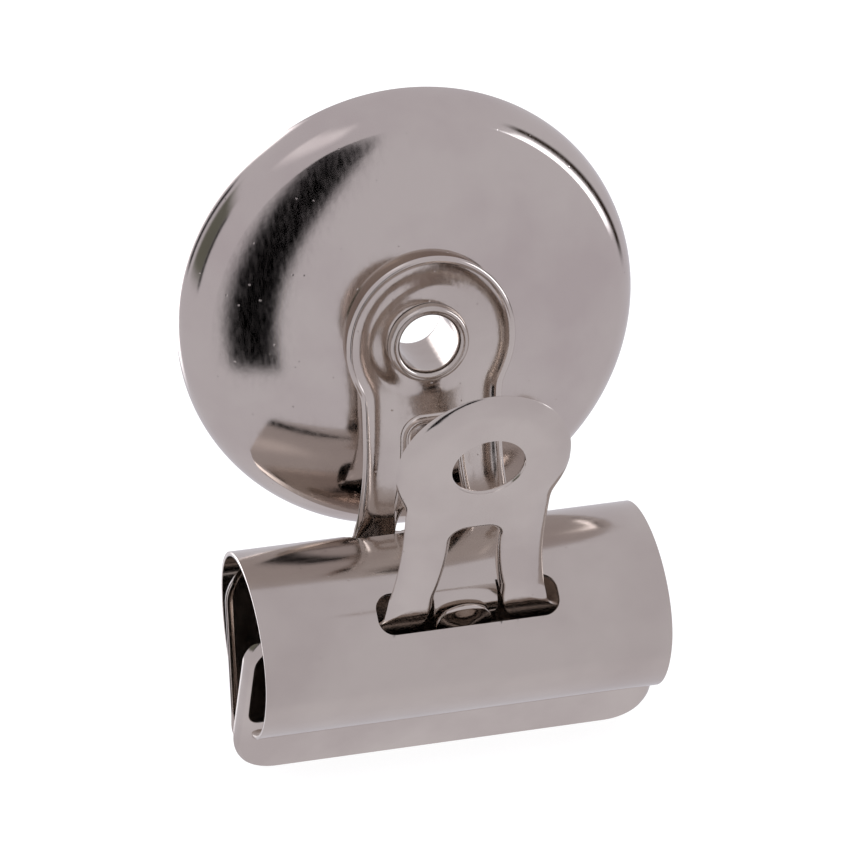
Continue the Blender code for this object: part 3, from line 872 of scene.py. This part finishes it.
floor_z = float(cad_box[0][2]) - 0.05 * MM
TABLE_REACH = 3.0       # metres each way
corners = [(-1, -1), (1, -1), (1, 1), (-1, 1)]
floor_mesh = bpy.data.meshes.new("table")
floor_mesh.from_pydata(
    [(x * TABLE_REACH, y * TABLE_REACH, floor_z) for x, y in corners], [], [(0, 1, 2, 3)]
)
table = bpy.data.objects.new("table", floor_mesh)
bpy.context.scene.collection.objects.link(table)
table.visible_glossy = False    # the metal mirrors the tent all the way round, with no horizon
table_white = bpy.data.materials.new("white_acrylic_table")
table_white.use_nodes = True
tree = table_white.node_tree
tree.nodes.clear()
glow = node(tree, "ShaderNodeEmission", {"Color": (1.0, 1.0, 1.0, 1.0), "Strength": 0.86})
matt = node(tree, "ShaderNodeBsdfDiffuse", {"Color": (0.36, 0.36, 0.36, 1.0)})
both = node(tree, "ShaderNodeAddShader")
tree.links.new(glow.outputs[0], both.inputs[0])
tree.links.new(matt.outputs[0], both.inputs[1])
out = node(tree, "ShaderNodeOutputMaterial")
tree.links.new(both.outputs[0], out.inputs[0])
floor_mesh.materials.append(table_white)

# Light of the tent, and its patches by direction in degrees: azimuth (0 is -Y, positive towards
# +X), elevation, half width, half height, softness of the edge, and light.
TENT = (0.66, 0.645, 0.70)
PATCHES = [
    (-50.0, 60.0, 30.0, 9.0, 7.0, (1.0, 0.98, 1.05)),
    (20.0, -74.0, 180.0, 12.0, 9.0, (0.70, 0.685, 0.74)),
    (-108.0, 13.0, 16.0, 15.0, 5.0, (0.16, 0.165, 0.14)),
    (-91.0, 10.0, 3.0, 14.0, 3.0, (0.03, 0.03, 0.03)),
    (-137.0, 8.0, 4.0, 14.0, 3.0, (0.02, 0.02, 0.02)),
    (-156.0, 2.0, 7.0, 30.0, 6.0, (3.2, 3.2, 3.4)),
]
# Slanting patches: azimuth = a + b * elevation + c * elevation squared, then as above.
SLANTED = [
    ((96.0, -0.5, 0.0), 12.0, 5.5, 26.0, 4.0, (0.03, 0.02, 0.012)),
    ((78.0, -0.6, 0.0), 13.0, 8.5, 18.0, 4.0, (3.2, 3.3, 3.6)),
    ((-19.0, 0.5, 0.012), -3.0, 7.0, 26.0, 2.0, (0.0, 0.0, 0.0)),
]


def tent_world():
    """White tent with soft boxes and black flags, each a soft-edged patch of directions."""
    world = bpy.data.worlds.new("light_tent")
    world.use_nodes = True
    tree = world.node_tree
    tree.nodes.clear()
    way = node(tree, "ShaderNodeTexCoord").outputs["Generated"]
    axes = node(tree, "ShaderNodeSeparateXYZ", Vector=way).outputs

    def calc(operation, a, b=None):
        made = node(tree, "ShaderNodeMath", {"operation": operation})
        for i, value in enumerate((a, b)):
            if value is None:
                continue
            if isinstance(value, (int, float)):
                made.inputs[i].default_value = value
            else:
                tree.links.new(value, made.inputs[i])
        return made.outputs[0]

    ahead = calc("MULTIPLY", axes["Y"], -1.0)
    azimuth = calc("MULTIPLY", calc("ARCTAN2", axes["X"], ahead), 180.0 / math.pi)
    elevation = calc("MULTIPLY", calc("ARCSINE", axes["Z"]), 180.0 / math.pi)

    def near(angle, middle, half, soft):
        away = calc("ABSOLUTE", calc("SUBTRACT", angle, middle))
        return node(
            tree, "ShaderNodeMapRange",
            {
                "interpolation_type": "SMOOTHSTEP", "From Min": half + soft,
                "From Max": max(0.0, half - soft), "To Min": 0.0, "To Max": 1.0,
            },
            Value=away,
        ).outputs[0]

    def slant(a, b, c):
        """Azimuth measured from a curve that depends on the elevation."""
        bent = calc("MULTIPLY", calc("ADD", calc("MULTIPLY", elevation, c), b), elevation)
        return calc("SUBTRACT", azimuth, calc("ADD", bent, a))

    colour = None
    spots = [(calc("SUBTRACT", azimuth, az), *rest) for az, *rest in PATCHES]
    spots += [(slant(*curve), *rest) for curve, *rest in SLANTED]
    for angle, el, w, h, s, light in spots:
        mask = calc("MULTIPLY", near(angle, 0.0, w, s), near(elevation, el, h, s))
        mix = node(tree, "ShaderNodeMix", {"data_type": "RGBA", 7: (*light, 1.0)}, i0=mask)
        if colour is None:
            mix.inputs[6].default_value = (*TENT, 1.0)
        else:
            tree.links.new(colour, mix.inputs[6])
        colour = mix.outputs[2]
    tent = node(tree, "ShaderNodeBackground", Color=colour)
    plain = node(tree, "ShaderNodeBackground", {"Color": (1.0, 1.0, 1.0, 1.0), "Strength": 1.05})
    seen = node(tree, "ShaderNodeLightPath").outputs["Is Camera Ray"]
    both = node(tree, "ShaderNodeMixShader", i0=seen, i1=tent.outputs[0], i2=plain.outputs[0])
    out = node(tree, "ShaderNodeOutputWorld")
    tree.links.new(both.outputs[0], out.inputs["Surface"])
    bpy.context.scene.world = world


tent_world()

lamp = bpy.data.lights.new("overhead_softbox", "AREA")
lamp.shape = "DISK"
lamp.size = 0.5
lamp.energy = 1.2
overhead = bpy.data.objects.new("overhead_softbox", lamp)
overhead.location = (-0.25, -0.3, 0.6)
overhead.rotation_euler = (-overhead.location).to_track_quat("-Z", "Y").to_euler()
bpy.context.scene.collection.objects.link(overhead)
overhead.visible_glossy = False

RIGHT = Vector((0.9665, -0.2564, -0.0137))
UP = Vector((0.1196, 0.4022, 0.9077))
BACK = Vector((-0.2272, -0.8789, 0.4194))
camera_data = bpy.data.cameras.new("product_camera")
camera_data.sensor_width = 36.0
camera_data.lens = 207.15
camera_data.clip_end = 20.0
camera_data.dof.use_dof = False
camera = bpy.data.objects.new("product_camera", camera_data)
turn = Matrix((RIGHT, UP, BACK)).transposed()
camera.matrix_world = Matrix.Translation((-0.0852, -0.3352, 0.1497)) @ turn.to_4x4()
bpy.context.scene.collection.objects.link(camera)
bpy.context.scene.camera = camera
bpy.context.scene.view_settings.view_transform = "Standard"
